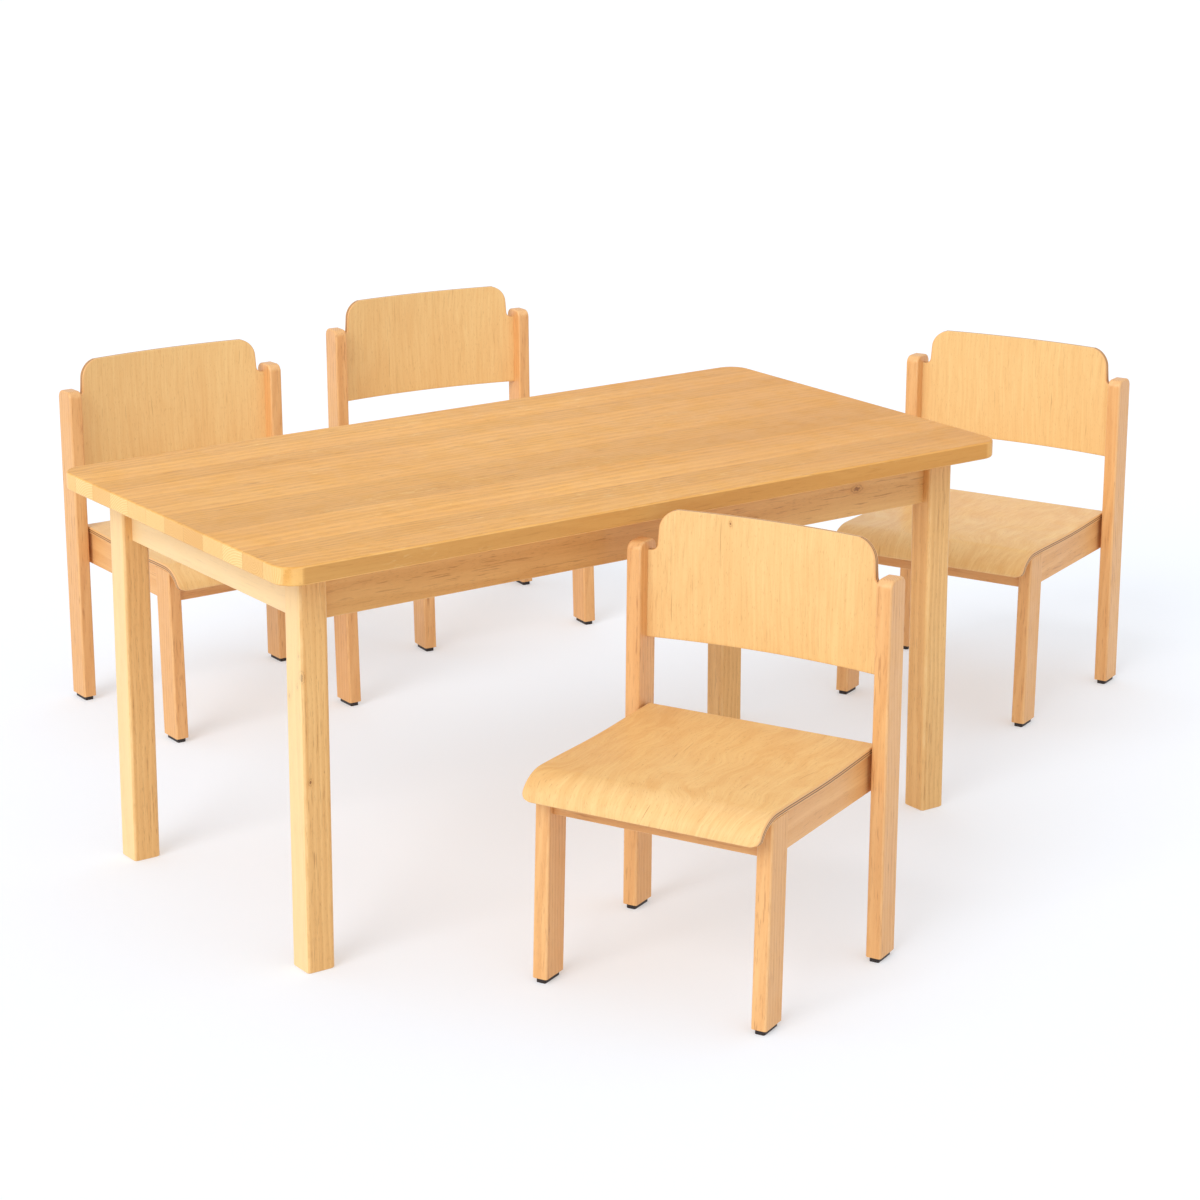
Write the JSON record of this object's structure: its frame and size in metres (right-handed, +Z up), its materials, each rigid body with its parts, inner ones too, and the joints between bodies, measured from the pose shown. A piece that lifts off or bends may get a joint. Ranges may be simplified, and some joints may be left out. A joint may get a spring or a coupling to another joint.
{
  "type": "children's table and chairs set",
  "caption": "Rectangular solid wood children's table with matching chairs that have curved plywood backs and moulded plywood seats.",
  "frame": {"origin": "on the floor, under the middle of the whole set's outline", "axes": "+Z up, +X along the table's long side towards the end chair, +Y across the table towards the two chairs of the far long side"},
  "size_m": [1.811, 1.9442, 0.57],
  "materials": {
    "oak_top": "oiled, edge-glued staves",
    "oak_frame": "oiled solid wood",
    "beech": "clear satin lacquer on steamed beech",
    "beech_ply": "clear satin lacquer on beech plywood",
    "glide": "dark moulded plastic",
    "steel": "zinc plated"
  },
  "bodies": {
    "table": {"table_top": "oak_top", "table_leg_right_back": "oak_frame", "table_leg_left_back": "oak_frame", "table_leg_right_front": "oak_frame", "table_leg_left_front": "oak_frame", "table_apron_back": "oak_frame", "table_apron_front": "oak_frame", "table_apron_right": "oak_frame", "table_apron_left": "oak_frame", "table_corner_braces": "oak_frame", "table_leg_bolts": "steel", "table_top_screws": "steel"},
    "chair_front": {"chair_front_post_left": "beech", "chair_front_post_right": "beech", "chair_front_backrest": "beech_ply", "chair_front_rear_rail": "beech", "chair_front_leg_left": "beech", "chair_front_leg_right": "beech", "chair_front_front_rail": "beech", "chair_front_side_rail_left": "beech", "chair_front_side_rail_right": "beech", "chair_front_seat": "beech_ply", "chair_front_glides": "glide", "chair_front_seat_screws": "steel"},
    "chair_end": {"chair_end_post_left": "beech", "chair_end_post_right": "beech", "chair_end_backrest": "beech_ply", "chair_end_rear_rail": "beech", "chair_end_leg_left": "beech", "chair_end_leg_right": "beech", "chair_end_front_rail": "beech", "chair_end_side_rail_left": "beech", "chair_end_side_rail_right": "beech", "chair_end_seat": "beech_ply", "chair_end_glides": "glide", "chair_end_seat_screws": "steel"},
    "chair_back_left": {"chair_back_left_post_left": "beech", "chair_back_left_post_right": "beech", "chair_back_left_backrest": "beech_ply", "chair_back_left_rear_rail": "beech", "chair_back_left_leg_left": "beech", "chair_back_left_leg_right": "beech", "chair_back_left_front_rail": "beech", "chair_back_left_side_rail_left": "beech", "chair_back_left_side_rail_right": "beech", "chair_back_left_seat": "beech_ply", "chair_back_left_glides": "glide", "chair_back_left_seat_screws": "steel"},
    "chair_back_right": {"chair_back_right_post_left": "beech", "chair_back_right_post_right": "beech", "chair_back_right_backrest": "beech_ply", "chair_back_right_rear_rail": "beech", "chair_back_right_leg_left": "beech", "chair_back_right_leg_right": "beech", "chair_back_right_front_rail": "beech", "chair_back_right_side_rail_left": "beech", "chair_back_right_side_rail_right": "beech", "chair_back_right_seat": "beech_ply", "chair_back_right_glides": "glide", "chair_back_right_seat_screws": "steel"}
  },
  "joints": [
    {"name": "chair_front_slide", "type": "slide", "parent": "table", "child": "chair_front", "axis": [-0.91, -0.4147, 0], "range_m": [-0.015, 0.2]},
    {"name": "chair_end_slide", "type": "slide", "parent": "table", "child": "chair_end", "axis": [-0.9212, -0.3891, 0], "range_m": [-0.15, 0.18]},
    {"name": "chair_back_left_slide", "type": "slide", "parent": "table", "child": "chair_back_left", "axis": [-0.0035, -1, 0], "range_m": [-0.1, 0.3]},
    {"name": "chair_back_right_slide", "type": "slide", "parent": "table", "child": "chair_back_right", "axis": [-0.0924, -0.9957, 0], "range_m": [-0.1, 0.35]}
  ]
}
